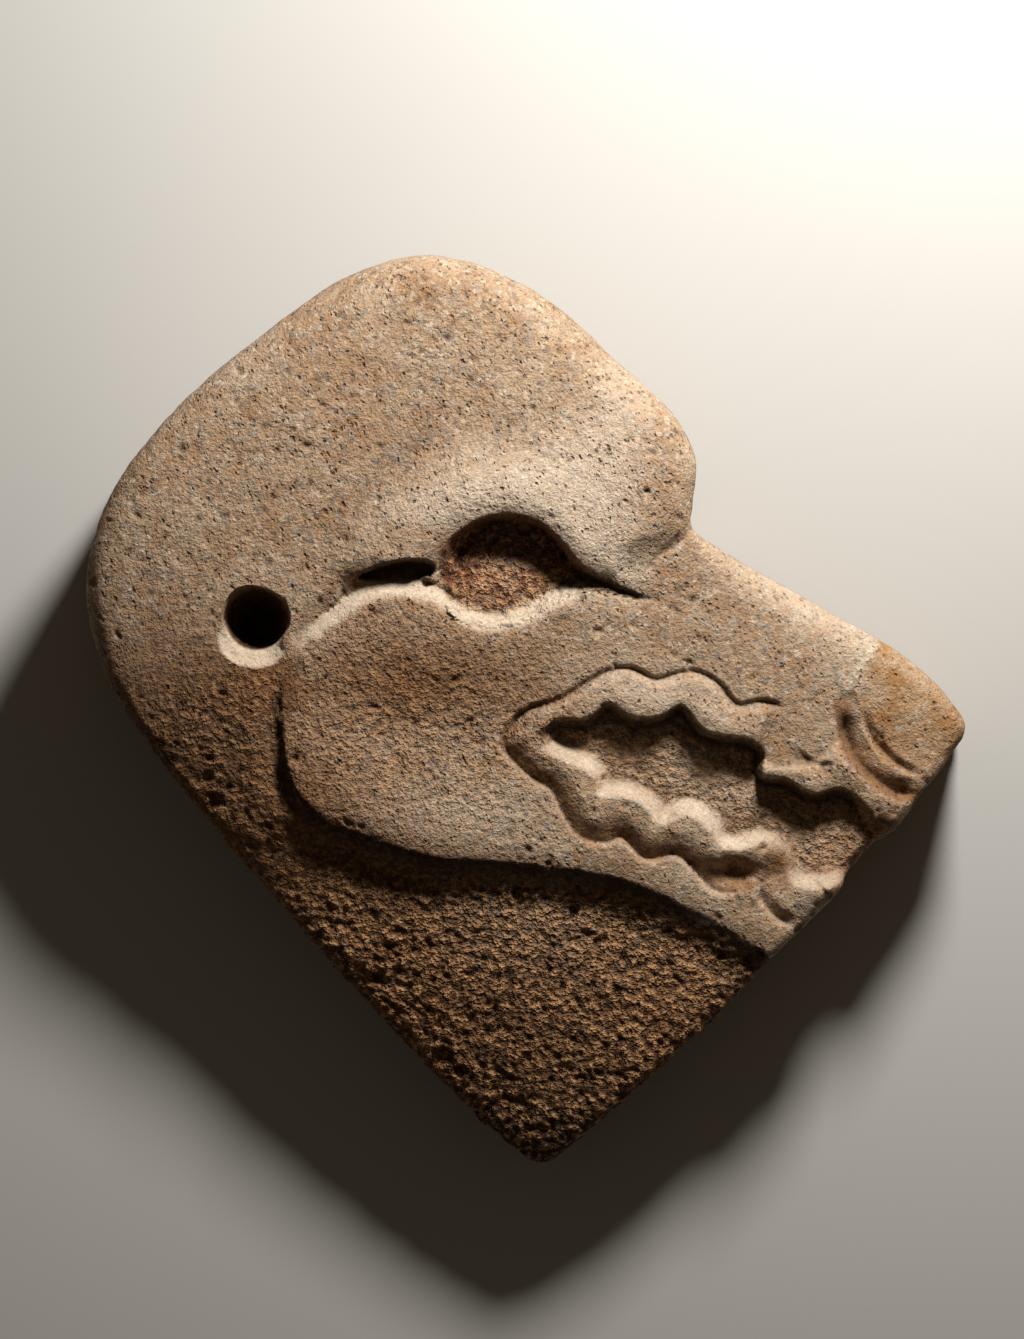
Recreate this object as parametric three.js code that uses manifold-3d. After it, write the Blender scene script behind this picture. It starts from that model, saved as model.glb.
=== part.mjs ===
// A carved stone hacha: one thin, wedge-shaped block of volcanic stone in the outline of a long-muzzled animal's
// head in profile, carved on both faces, with one suspension hole drilled through behind the cheek.
// It lies on its reverse face. +Z is up, out of the obverse face; +X runs towards the nose; +Y towards the crown.
// The origin is the middle of the outline's box, on the surface that the stone lies on. All lengths are millimetres.

import * as THREE from 'three';
import { ConvexHull } from 'three/addons/math/ConvexHull.js';
import { mergeVertices } from 'three/addons/utils/BufferGeometryUtils.js';
import Module from 'manifold-3d';

const { smoothstep } = THREE.MathUtils;

// Driving dimensions of the block
const WIDTH = 270; // back of the head to the tip of the nose
const BACK_THICKNESS = 60; // over the cheek's plane, at the back of the head
const NOSE_THICKNESS = 42; // over the cheek's plane, at the tip of the nose

// Levels of the carving, from the cheek's plane, which is the face's reference
const CROWN = -2.5;
const BROW_RISE = 6;
const SOCKET_FLOOR = -7.4;
const SOCKET_FALL = 2.6; // further down, close under the brow
const SLOT_FLOOR = -7.5;
const MOUTH_FLOOR = -7.4;
const MOUTH_END_RISE = 3.2; // up again, to the mouth's open end under the nose
const NECK_DROP = 5.5; // from the crown's level down to the neck, under the cheek's edge
const NECK_SLOPE = 7; // further down, from under the cheek to the bottom tip
const EDGE_SLOPE = 7; // further down, towards the lower back edge
const CHEEK_DISH = 4.6;
const CHEEK_ROLL = 1.8; // down to the cheek's lower edge
const LIP_SWELL = 1.2;

// Widths of the steps between the levels, seen from above
const CHEEK_STEP = 9; // below and behind the cheek
const CHEEK_ROLL_REACH = 9;
const RIM_STEP = 6;
const CREASE_STEP = 3.5; // where the brow meets the muzzle at the notch
const CREASE_SPREAD = 6; // added to it where the crease dies out, at the tail of the eye
const BROW_SLOPE = 22; // above the eye
const LOBE_SPREAD = 26; // added to it over the front lobe of the brow
const UNDERCUT_STEP = 2.2;
const LIP_SLOPE = 6.5;
const MOUTH_END_SLOPE = 9; // added to the upper lip's step at the mouth's open end
const LIP_ROLL = 5.5; // from the line cut round the lips up on to their swell
const EDGE_REACH = 58; // how far in from the lower back edge its slope begins
const CUT_FADE = 5; // a cut line runs out over this length at each end

// The suspension hole, drilled from both faces and narrow in the middle
const HOLE = { x: -82.9, y: 27.6, mouth: 10.7, throat: 4, sides: 20 };

// Mesh fineness
const RIM_SPACING = 4.8;
const FIELD_SPACING = 5.4;
const REVERSE_SPACING = 8.6;
const ROW_SPACING = 3.8;

// Outline of the block: plan points, each with the radius that the edge is worn to
const OUTLINE = [
  [4.2, -140, 4], [-5, -134.4, 3.5], [-40, -100, 3], [-80, -54.5, 3], [-103, -27.5, 3], [-120, -4.8, 4],
  [-129.6, 12, 5], [-135, 38, 6], [-128.5, 63.5, 7], [-110, 89.6, 8], [-78, 118, 10], [-52, 134.8, 12],
  [-29, 140, 12], [0, 130.4, 12], [30, 105.2, 12], [45, 90.8, 9], [51.8, 77, 6], [51.2, 64, 4], [50.6, 56.4, 2.4],
  [59, 49.8, 6], [80, 37.4, 10], [98, 27.2, 9], [109, 21.4, 8], [120, 13.4, 6.5], [130, 3.6, 5], [135, -5.5, 4.5],
  [129.4, -15.8, 4], [120.6, -26.6, 4], [112.2, -37.2, 3.5], [106.2, -40.8, 3], [98.4, -49.6, 3],
  [95.4, -55.4, 3.5], [80, -71.4, 3], [50, -101.6, 3], [13.3, -134.4, 3.5],
];

// A smooth line through plan points, kept as short straight steps for measuring from
class Trace {
  constructor(points, closed = false) {
    this.curve = new THREE.CatmullRomCurve3(points.map((p) => new THREE.Vector3(...p)), closed, 'centripetal');
    this.curve.arcLengthDivisions = 600;
    this.steps = this.curve.getSpacedPoints(Math.ceil(this.curve.getLength() / 1.8));
    this.ends = [this.steps[0], this.steps[this.steps.length - 1]];
  }

  points() {
    return this.steps.map((p) => p.toArray());
  }

  distance(x, y) {
    let best = Infinity;
    for (let i = 1; i < this.steps.length; i += 1) {
      const a = this.steps[i - 1];
      const dx = this.steps[i].x - a.x;
      const dy = this.steps[i].y - a.y;
      const along = THREE.MathUtils.clamp(((x - a.x) * dx + (y - a.y) * dy) / (dx * dx + dy * dy), 0, 1);
      best = Math.min(best, Math.hypot(x - a.x - along * dx, y - a.y - along * dy));
    }
    return best;
  }

  // Positive inside a closed line, negative outside it
  inward(x, y) {
    let inside = false;
    for (let i = 1; i < this.steps.length; i += 1) {
      const a = this.steps[i - 1];
      const b = this.steps[i];
      if (a.y > y !== b.y > y && x < a.x + ((y - a.y) / (b.y - a.y)) * (b.x - a.x)) inside = !inside;
    }
    return this.distance(x, y) * (inside ? 1 : -1);
  }

  // Points in rows beside the line, one row for each offset to its left
  rows(offsets, spacing) {
    const count = Math.ceil(this.curve.getLength() / spacing);
    return offsets.flatMap((offset) => Array.from({ length: count + 1 }, (_, i) => {
      const at = this.curve.getPointAt(i / count);
      const along = this.curve.getTangentAt(i / count).setZ(0).normalize();
      return new THREE.Vector3(at.x - along.y * offset, at.y + along.x * offset, at.z);
    }));
  }
}

const outline = new Trace(OUTLINE, true);

// Cheek and muzzle: one raised plate, bounded by the cheek's lower edge, its rim and the crease under the brow, and
// open at the muzzle, where it runs out to the edge of the block
const cheekEdge = new Trace([
  [78, -80], [71, -73], [51, -61.2], [30, -51.8], [0, -46.8], [-29, -44.4], [-50, -37.6], [-62, -32.2],
  [-70.5, -24], [-74, -10], [-73.5, 4], [-65, 22],
]);
const cheekRim = new Trace([
  [-65, 22], [-57, 29], [-49, 34], [-40, 36], [-30, 34], [-21, 27.5], [-10, 25.3], [0, 27.6], [9, 32.8],
  [20, 36.6], [32, 34.4], [39.6, 34],
]);
const browCrease = new Trace([[39.6, 34], [35.6, 37.6], [34.4, 42.4], [40, 46.8], [46, 51.2], [50.6, 56.6], [56, 64]]);
const plate = new Trace([
  ...cheekEdge.points(), ...cheekRim.points().slice(1), ...browCrease.points().slice(1), [200, 80], [200, -120],
], true);

// Eye: the socket under the brow, its long tail towards the muzzle, and the slot at its back corner
const browEdge = new Trace([
  [-26, 47], [-24, 52.5], [-15, 58.5], [-5, 60], [4, 57.6], [11, 51.5], [17, 44.3], [27, 39], [39.6, 34],
]);
const socket = new Trace([
  ...browEdge.points(), [20, 22], [-24, 18], [-28.5, 38], [-28.5, 44],
], true);
const slot = new Trace([
  [-51.5, 41], [-45, 44], [-36, 45.2], [-28.5, 44.6], [-26.4, 42], [-29, 39.2], [-42, 39.2],
], true);
const browField = new Trace([
  [-64, 44], [-58, 60], [-42, 76], [-22, 86.5], [-5, 89], [9, 100], [22, 116], [70, 120], [90, 20], [-10, 10],
  [-45, 25],
], true);

// Mouth: an outer line cut round both lips, the lips' inner edges, and the sunk mouth between them
const lipLine = new Trace([
  [80, 0.6], [72, 2.6], [64.7, 1.6], [58, 8.6], [51, 11.8], [44, 10.6], [39.4, 9.4], [32, 12.6], [25, 12],
  [18, 8.2], [9.4, 3], [-1, -0.6], [-7.2, -10], [0, -19.6], [7.5, -24.6], [11, -31.5], [16, -38.4], [24, -40.4],
  [28.8, -39], [36, -45.4], [46, -44.6], [51.5, -49.6], [58, -55.4], [66.3, -55.8],
]);
const lipField = new Trace([
  ...lipLine.points(), [84, -50], [110, -70], [150, -30], [125, -8], [96, -3],
], true);
const upperLip = new Trace([
  [122, -36], [112, -32], [103, -27.2], [96, -23.8], [88, -25.4], [80, -21], [72.5, -19.4], [73.4, -13.4],
  [69, -9], [55, -6], [47.4, 1.9], [40.5, -1.4], [32.5, -1.8], [25, 2.4], [18, -2.4], [10, -2.2], [3, -6],
]);
const lowerLip = new Trace([
  [3, -6], [4.6, -12], [13.5, -17], [18.8, -19.4], [21.6, -26.4], [30, -27], [35.4, -29.6], [40, -35.4],
  [49.5, -32.8], [54.4, -36], [58, -42], [65, -43.6], [71, -42.4], [76, -45.4], [79, -51], [83, -54.6],
  [90, -55.6], [98, -54],
]);
const mouth = new Trace([...upperLip.points(), ...lowerLip.points().slice(1), [125, -60]], true);

// Cut lines: round the lips, the nostril's two arcs, the corner of the muzzle and the chin
const CUTS = [
  { line: lipLine, depth: 2, half: 1.6 },
  { line: new Trace([[103, 1], [105, -6], [107.8, -10.6], [111.6, -14.8], [123, -21]]), depth: 2.4, half: 2.4 },
  { line: new Trace([[96.6, 1], [98.4, -9], [102, -16], [107, -21], [113, -25]]), depth: 2.4, half: 3 },
  { line: new Trace([[81.6, -9.6], [84.5, -14], [89, -16.6], [96, -16.4]]), depth: 1.6, half: 1.8 },
  { line: new Trace([[71.4, -51], [72.2, -57.5], [75.6, -62.6], [84, -67.4]]), depth: 2.2, half: 2.2 },
];

// A point on the straight lower back edge, and the direction square to it into the block
const LOWER_BACK_EDGE = { x: -125, y: 3, inX: 0.742, inY: 0.67 };

// Level of the surface around the cheek: the crown, falling to the neck and towards the lower back edge
function groundLevel(x, y) {
  const { x: edgeX, y: edgeY, inX, inY } = LOWER_BACK_EDGE;
  const fromLowerBackEdge = (x - edgeX) * inX + (y - edgeY) * inY;
  const neck = smoothstep(-y, -10, 50) * (1 - 0.35 * smoothstep(x, 10, 75));
  const towardsTip = Math.max(0, -y - 50) / 90;
  const towardsEdge = Math.max(0, 1 - fromLowerBackEdge / EDGE_REACH) ** 2;
  return CROWN - NECK_DROP * neck - NECK_SLOPE * towardsTip - EDGE_SLOPE * towardsEdge;
}

// Rise of the brow: short and steep above the eye, long and gentle on the lobe in front
function browRise(x, y) {
  return BROW_RISE * smoothstep(browField.inward(x, y), 0, BROW_SLOPE + LOBE_SPREAD * smoothstep(x, -8, 26));
}

// Level of the carved obverse at a plan point, before the edge is rounded
function obverseLevel(x, y) {
  let around = groundLevel(x, y) + browRise(x, y);
  const socketFloor = SOCKET_FLOOR - SOCKET_FALL * smoothstep(y, 38, 52);
  around += (socketFloor - around) * smoothstep(socket.inward(x, y), 0, UNDERCUT_STEP);
  around += (SLOT_FLOOR - around) * smoothstep(slot.inward(x, y), 0, UNDERCUT_STEP);

  const dish = Math.exp(-(((x + 33) / 34) ** 2) - ((y + 5) / 20) ** 2);
  const toCheekEdge = cheekEdge.distance(x, y);
  const lips = lipField.inward(x, y);
  let level = -CHEEK_DISH * dish + LIP_SWELL * smoothstep(lips, 0, LIP_ROLL);
  level -= CHEEK_ROLL * Math.max(0, 1 - toCheekEdge / CHEEK_ROLL_REACH) ** 2;
  const upperStep = UNDERCUT_STEP + MOUTH_END_SLOPE * smoothstep(x, 99, 108);
  const sunk = mouth.inward(x, y) > 0
    ? smoothstep(upperLip.distance(x, y), 0, upperStep) * smoothstep(lowerLip.distance(x, y), 0, LIP_SLOPE)
    : 0;
  level += (MOUTH_FLOOR + MOUTH_END_RISE * smoothstep(x - 0.5 * y, 98, 124) - level) * sunk;

  const reach = Math.min(
    toCheekEdge / CHEEK_STEP,
    cheekRim.distance(x, y) / RIM_STEP,
    browCrease.distance(x, y) / (CREASE_STEP + CREASE_SPREAD * smoothstep(-x, -46, -34)),
  );
  const outside = plate.inward(x, y) > 0 ? 0 : smoothstep(reach, 0, 1);
  level += (around - level) * outside;

  for (const { line, depth, half } of CUTS) {
    const width = line === lipLine && lips > 0 ? LIP_ROLL : half;
    const toEnd = Math.min(...line.ends.map((end) => Math.hypot(x - end.x, y - end.y)));
    level -= depth * Math.max(0, 1 - line.distance(x, y) / width) * smoothstep(toEnd, 0, CUT_FADE);
  }
  return level;
}

// Level of the reverse: the same head, more plainly cut, with nothing standing above the cheek's plane
function reverseLevel(x, y) {
  let around = Math.min(0, groundLevel(x, y) * 0.7 + browRise(x, y));
  around += (SOCKET_FLOOR - around) * smoothstep(socket.inward(x, y), 0, UNDERCUT_STEP * 2);
  const sunk = mouth.inward(x, y) > 0
    ? smoothstep(Math.min(upperLip.distance(x, y), lowerLip.distance(x, y)), 0, LIP_SLOPE)
    : 0;
  const level = MOUTH_FLOOR * 0.7 * sunk;
  const reach = Math.min(cheekEdge.distance(x, y), cheekRim.distance(x, y), browCrease.distance(x, y));
  const outside = plate.inward(x, y) > 0 ? 0 : smoothstep(reach, 0, RIM_STEP);
  return level + (around - level) * outside;
}

// Fall of a face over the last stretch to the outline, before the worn edge itself
function edgeFall(x, y, radius) {
  const share = Math.max(0, 1 - outline.distance(x, y) / (4 * radius));
  return 0.4 * radius * share * share;
}

const edgeRadiusAt = (x, y) => outline.steps.reduce(
  (best, p) => {
    const d = (p.x - x) ** 2 + (p.y - y) ** 2;
    return d < best.d ? { d, radius: p.z } : best;
  },
  { d: Infinity, radius: 0 },
).radius;

const planeHeight = (x) => (BACK_THICKNESS + NOSE_THICKNESS) / 2
  - ((BACK_THICKNESS - NOSE_THICKNESS) * x) / WIDTH;
const FACES = {
  obverse: (x, y) => planeHeight(x) + obverseLevel(x, y) - edgeFall(x, y, edgeRadiusAt(x, y)),
  reverse: (x, y) => -reverseLevel(x, y) + edgeFall(x, y, edgeRadiusAt(x, y)),
};

// Triangles between plan points: the lower hull of the points lifted on to a bowl, less what lies outside the ring
function spanField(points, ring) {
  const lifted = points.map((p, index) => Object.assign(
    new THREE.Vector3(p.x, p.y, (p.x * p.x + p.y * p.y) / 100), { index },
  ));
  const triangles = [];
  for (const face of new ConvexHull().setFromPoints(lifted).faces) {
    const corners = [face.edge, face.edge.next, face.edge.prev].map((edge) => edge.head().point);
    const x = (corners[0].x + corners[1].x + corners[2].x) / 3;
    const y = (corners[0].y + corners[1].y + corners[2].y) / 3;
    if (face.normal.z < 0 && ring.inward(x, y) > 0) triangles.push(corners.map((c) => c.index));
  }
  return triangles;
}

// Plan points of a face: rows along the carved lines first, then an even field between them
function fieldPoints(rows, spacing, ring) {
  const kept = [];
  const add = (p, room) => {
    if (ring.inward(p.x, p.y) < RIM_SPACING * 0.6) return;
    if (kept.every((q) => (q.x - p.x) ** 2 + (q.y - p.y) ** 2 > room * room)) kept.push(p);
  };
  for (const { points, room } of rows) points.forEach((p) => add(p, room));
  const pitch = spacing * Math.sqrt(3) / 2;
  for (let row = -30; row <= 30; row += 1) {
    for (let column = -30; column <= 30; column += 1) {
      const shift = row % 2 === 0 ? 0 : spacing / 2;
      const stir = 0.3 * Math.sin(row * 12.9 + column * 78.2);
      add(new THREE.Vector3(column * spacing + shift + stir, row * pitch - stir, 0), spacing * 0.62);
    }
  }
  return kept;
}

// The worn edge from a face down to the side: rings from the side's corner in to the face
function edgeRings(turns) {
  const count = Math.round(outline.curve.getLength() / RIM_SPACING);
  return turns.map((turn) => Array.from({ length: count }, (_, i) => {
    const at = outline.curve.getPointAt(i / count);
    const along = outline.curve.getTangentAt(i / count).setZ(0).normalize();
    const inset = at.z * (1 - Math.cos(turn));
    // The outline runs clockwise, so the block lies to its right
    return { x: at.x + along.y * inset, y: at.y - along.x * inset, radius: at.z, drop: at.z * (1 - Math.sin(turn)) };
  }));
}

function buildFace(face, rows, spacing, turns) {
  const rings = edgeRings(turns);
  const inner = rings[rings.length - 1];
  const ring = Object.assign(Object.create(Trace.prototype), { steps: [...inner, inner[0]] });
  const field = fieldPoints(rows, spacing, ring);
  const height = FACES[face];
  const up = face === 'obverse' ? 1 : -1;
  const points = [];
  for (const row of rings) {
    row.forEach((p, i) => points.push([p.x, p.y, height(inner[i].x, inner[i].y) - up * p.drop]));
  }
  field.forEach((p) => points.push([p.x, p.y, height(p.x, p.y)]));
  const first = (rings.length - 1) * inner.length;
  const triangles = spanField([...inner, ...field], ring).map((t) => t.map((i) => i + first));
  if (up > 0) triangles.forEach((t) => t.reverse());
  return { points, triangles, rings: rings.length, around: inner.length };
}

// Rows beside the carved lines: the offsets are where each step begins and ends
const obverseRows = [
  { points: browEdge.rows([0, -UNDERCUT_STEP, 3.5], ROW_SPACING), room: 1.5 },
  { points: cheekRim.rows([0, RIM_STEP], ROW_SPACING), room: 1.8 },
  { points: slot.rows([0, -UNDERCUT_STEP], ROW_SPACING), room: 1.5 },
  { points: browCrease.rows([0, CREASE_STEP], ROW_SPACING), room: 1.8 },
  { points: cheekEdge.rows([0, CHEEK_STEP / 2, CHEEK_STEP], ROW_SPACING * 1.2), room: 2 },
  { points: upperLip.rows([0, UNDERCUT_STEP], ROW_SPACING * 0.8), room: 1.5 },
  { points: lowerLip.rows([0, LIP_SLOPE], ROW_SPACING * 0.8), room: 1.6 },
  ...CUTS.map(({ line, half }) => ({ points: line.rows([0, half, -half], ROW_SPACING * 0.8), room: 1.2 })),
];
const reverseRows = [
  { points: browEdge.rows([0, -UNDERCUT_STEP * 2], ROW_SPACING * 1.4), room: 3 },
  { points: cheekRim.rows([0, RIM_STEP], ROW_SPACING * 1.5), room: 3 },
  { points: cheekEdge.rows([0, RIM_STEP], ROW_SPACING * 1.6), room: 3 },
  { points: upperLip.rows([0, LIP_SLOPE], ROW_SPACING * 1.6), room: 3.5 },
  { points: lowerLip.rows([0, LIP_SLOPE], ROW_SPACING * 1.6), room: 3.5 },
];

// The whole block: both faces, and the side between their outermost rings
function buildBlock() {
  const quarter = Math.PI / 2;
  const front = buildFace('obverse', obverseRows, FIELD_SPACING, [0, quarter / 3, (2 * quarter) / 3, quarter]);
  const back = buildFace('reverse', reverseRows, REVERSE_SPACING, [0, quarter / 2, quarter]);
  const n = front.around;
  const start = front.points.length;
  const triangles = [...front.triangles, ...back.triangles.map((t) => t.map((i) => i + start))];
  const strip = (outer, inner) => {
    for (let i = 0; i < n; i += 1) {
      const j = (i + 1) % n;
      triangles.push([outer + i, inner + i, inner + j], [outer + i, inner + j, outer + j]);
    }
  };
  for (let ring = 1; ring < front.rings; ring += 1) strip(n * (ring - 1), n * ring);
  for (let ring = 1; ring < back.rings; ring += 1) strip(start + n * ring, start + n * (ring - 1));
  strip(start, 0);
  const geometry = new THREE.BufferGeometry();
  geometry.setAttribute('position', new THREE.Float32BufferAttribute([...front.points, ...back.points].flat(), 3));
  geometry.setIndex(triangles.flat());
  return geometry;
}

// The drill's two flared cones, meeting at the throat
function buildHoleCutter() {
  const top = planeHeight(HOLE.x);
  const cone = [-1.1, -1, -0.85, -0.5, 0, 0.5, 0.85, 1, 1.1].map((share) => new THREE.Vector2(
    HOLE.throat + (HOLE.mouth - HOLE.throat) * (1 - Math.max(0, 1 - Math.abs(share)) ** 1.6),
    top * (0.5 + 0.5 * share),
  ));
  const profile = [new THREE.Vector2(0, cone[0].y), ...cone, new THREE.Vector2(0, cone[cone.length - 1].y)];
  return new THREE.LatheGeometry(profile, HOLE.sides).rotateX(Math.PI / 2).translate(HOLE.x, HOLE.y, 0);
}

const wasm = await Module();
wasm.setup();

function toSolid(geometry) {
  geometry.deleteAttribute('normal');
  geometry.deleteAttribute('uv');
  const merged = mergeVertices(geometry, 1e-4);
  return new wasm.Manifold(new wasm.Mesh({
    numProp: 3, vertProperties: merged.attributes.position.array, triVerts: Uint32Array.from(merged.index.array),
  }));
}

function toGeometry(solid) {
  const { vertProperties, triVerts } = solid.getMesh();
  const geometry = new THREE.BufferGeometry();
  geometry.setAttribute('position', new THREE.Float32BufferAttribute(vertProperties, 3));
  geometry.setIndex(Array.from(triVerts));
  geometry.computeVertexNormals();
  return geometry;
}

const stone = new THREE.MeshStandardMaterial({ color: 0xa4886d, roughness: 0.9, metalness: 0 });
const carvedHead = new THREE.Mesh(toGeometry(toSolid(buildBlock()).subtract(toSolid(buildHoleCutter()))), stone);
carvedHead.name = 'carved_head';

const hacha = new THREE.Group();
hacha.add(carvedHead);

export default hacha;
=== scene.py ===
import itertools
import math

import bpy
import numpy as np
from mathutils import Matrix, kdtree
from mathutils.geometry import delaunay_2d_cdt


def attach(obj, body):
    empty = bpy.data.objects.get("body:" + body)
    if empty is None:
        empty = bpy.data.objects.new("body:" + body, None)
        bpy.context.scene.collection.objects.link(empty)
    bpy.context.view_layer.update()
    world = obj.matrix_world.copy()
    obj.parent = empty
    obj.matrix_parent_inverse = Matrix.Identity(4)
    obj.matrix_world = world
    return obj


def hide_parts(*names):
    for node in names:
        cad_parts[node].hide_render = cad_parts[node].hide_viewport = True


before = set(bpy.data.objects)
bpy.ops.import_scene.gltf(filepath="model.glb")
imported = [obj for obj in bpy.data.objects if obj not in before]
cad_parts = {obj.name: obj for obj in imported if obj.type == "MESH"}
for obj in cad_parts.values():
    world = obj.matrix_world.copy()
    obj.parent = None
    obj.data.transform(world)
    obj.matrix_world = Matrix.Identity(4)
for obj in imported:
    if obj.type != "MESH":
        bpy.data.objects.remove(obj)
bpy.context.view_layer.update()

# The view: straight down on the stone as it lies on its reverse, with the crown at the top of the picture,
# and from far enough away that the outline keeps its true shape.
MM = 0.001
PICTURE_HEIGHT = 1339
MM_PER_PIXEL = 0.30618
VIEW_CENTRE = (-4.6, 12.4)
VIEW_DISTANCE = 2400.0
FACE_HEIGHT = 48.0
SENSOR = 36.0

camera = bpy.data.objects.new("camera", bpy.data.cameras.new("camera"))
camera.data.sensor_width = SENSOR
camera.data.lens = SENSOR * VIEW_DISTANCE / (PICTURE_HEIGHT * MM_PER_PIXEL)
camera.data.clip_end = 20.0
camera.location = (VIEW_CENTRE[0] * MM, VIEW_CENTRE[1] * MM, (VIEW_DISTANCE + FACE_HEIGHT) * MM)
bpy.context.scene.collection.objects.link(camera)
bpy.context.scene.camera = camera

# The floor: a plain studio table that the stone lies on, covered with matt paper. The paper gives the eye an
# even, pale grey ground without any shine, on which the stone's own soft shadow falls.
FLOOR_HALF = 4.0


def linear(hex_colour):
    """An sRGB hex colour as the linear RGBA that a shader takes."""
    parts = [int(hex_colour[i:i + 2], 16) / 255 for i in (1, 3, 5)]
    return [c / 12.92 if c <= 0.04045 else ((c + 0.055) / 1.055) ** 2.4 for c in parts] + [1.0]


floor_mesh = bpy.data.meshes.new("floor")
floor_corners = [(x * FLOOR_HALF, y * FLOOR_HALF, 0) for x, y in ((-1, -1), (1, -1), (1, 1), (-1, 1))]
floor_mesh.from_pydata(floor_corners, [], [(0, 1, 2, 3)])
floor = bpy.data.objects.new("floor", floor_mesh)
bpy.context.scene.collection.objects.link(floor)
paper = bpy.data.materials.new("matt_pale_paper")
paper.use_nodes = True
paper.node_tree.nodes["Principled BSDF"].inputs["Base Color"].default_value = linear("#c6c5c2")
paper.node_tree.nodes["Principled BSDF"].inputs["Roughness"].default_value = 0.9
floor_mesh.materials.append(paper)

# The light: one soft lamp beyond the crown, low over the face so that the relief throws its shadows down the
# stone, near enough that the neck is dimmer than the crown, with a weak even fill.
LAMP_PLACE = (0.19, 0.50, 0.36)
LAMP_AIM = (0.0, 0.02, 0.05)

lamp = bpy.data.objects.new("lamp", bpy.data.lights.new("lamp", "AREA"))
lamp.data.shape = "DISK"
lamp.data.size = 0.15
lamp.data.energy = 6.5
lamp.data.color = (1.0, 0.96, 0.90)
lamp.location = LAMP_PLACE
towards = np.array(LAMP_AIM) - np.array(lamp.location)
lamp_tilt = math.acos(-towards[2] / np.linalg.norm(towards))
lamp.rotation_euler = (lamp_tilt, 0, math.atan2(towards[0], -towards[1]) + math.pi)
bpy.context.scene.collection.objects.link(lamp)
studio = bpy.data.worlds.new("studio")
studio.use_nodes = True
studio.node_tree.nodes["Background"].inputs["Color"].default_value = linear("#e8d2b4")
studio.node_tree.nodes["Background"].inputs["Strength"].default_value = 0.055
bpy.context.scene.world = studio
bpy.context.scene.view_settings.view_transform = "Standard"

# The stone: one thin wedge of volcanic stone, pecked and ground with harder stones to the outline of a
# long-muzzled animal's head in profile, carved on both faces and drilled behind the cheek to hang on a cord.
# Plan points are in millimetres, each with the radius of its worn edge.
OUTLINE = [
    (4.2, -140, 4), (-5, -134.4, 3.5), (-40, -100, 3), (-80, -54.5, 3), (-103, -27.5, 3), (-120, -4.8, 4),
    (-129.6, 12, 5), (-135, 38, 6), (-128.5, 63.5, 7), (-110, 89.6, 8), (-78, 118, 10), (-52, 134.8, 12),
    (-29, 140, 12), (0, 130.4, 12), (30, 105.2, 12), (45, 90.8, 9), (51.8, 77, 6), (51.2, 64, 4),
    (50.6, 56.4, 2.4), (59, 49.8, 6), (80, 37.4, 10), (98, 27.2, 9), (109, 21.4, 8), (120, 13.4, 6.5),
    (130, 3.6, 5), (135, -5.5, 4.5), (129.4, -15.8, 4), (120.6, -26.6, 4), (112.2, -37.2, 3.5),
    (106.2, -40.8, 3), (98.4, -49.6, 3), (95.4, -55.4, 3.5), (80, -71.4, 3), (50, -101.6, 3),
    (13.3, -134.4, 3.5),
]
WIDTH = 270.0
BACK_THICKNESS, NOSE_THICKNESS = 60.0, 42.0


def trace(points, closed=False, step=1.2):
    """A smooth line through plan points, as short straight steps; a third number is carried along it."""
    p = np.array([(*q, 0.0)[:3] for q in points], float)
    p = np.vstack([p[-1:], p, p[:2]]) if closed else np.vstack([2 * p[0] - p[1], p, 2 * p[-1] - p[-2]])
    s = np.linspace(0, 1, 16, endpoint=False)[:, None]
    fine = []
    for a, b, c, d in zip(p, p[1:], p[2:], p[3:]):
        ab, bc, cd = (max(np.linalg.norm(v - u), 1e-6) ** 0.5 for u, v in ((a, b), (b, c), (c, d)))
        leave = ((b - a) / ab - (c - a) / (ab + bc) + (c - b) / bc) * bc
        arrive = ((c - b) / bc - (d - b) / (bc + cd) + (d - c) / cd) * bc
        fine.append(b + leave * s + (3 * (c - b) - 2 * leave - arrive) * s ** 2
                    + (2 * (b - c) + leave + arrive) * s ** 3)
    fine = np.vstack(fine + [p[-2:-1]])
    run = np.concatenate([[0], np.cumsum(np.hypot(*np.diff(fine[:, :2], axis=0).T))])
    at = np.linspace(0, run[-1], math.ceil(run[-1] / step) + 1)
    return np.column_stack([np.interp(at, run, fine[:, k]) for k in range(3)])


def measure(line, x, y, reach):
    """Distance of plan points from a traced line, up to a reach; the number carried there; if on its left."""
    low, high = line[:, :2].min(0) - reach, line[:, :2].max(0) + reach
    near = (x > low[0]) & (x < high[0]) & (y > low[1]) & (y < high[1])
    px, py = x[near], y[near]
    best, carried, lefts = np.full(px.shape, float(reach) ** 2), np.zeros(px.shape), np.zeros(px.shape, bool)
    for (ax, ay, aw), (bx, by, bw) in zip(line, line[1:]):
        close = np.flatnonzero((np.abs(px - ax) < reach + 2) & (np.abs(py - ay) < reach + 2))
        dx, dy, qx, qy = bx - ax, by - ay, px[close] - ax, py[close] - ay
        along = np.clip((qx * dx + qy * dy) / max(dx * dx + dy * dy, 1e-9), 0, 1)
        gap = (qx - along * dx) ** 2 + (qy - along * dy) ** 2
        closer = gap < best[close]
        best[close[closer]] = gap[closer]
        carried[close[closer]] = aw + (bw - aw) * along[closer]
        lefts[close[closer]] = (dx * qy > dy * qx)[closer]
    gaps, numbers, left = np.full(x.shape, float(reach)), np.zeros(x.shape), np.zeros(x.shape, bool)
    gaps[near], numbers[near], left[near] = np.sqrt(best), carried, lefts
    return gaps, numbers, left


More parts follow.
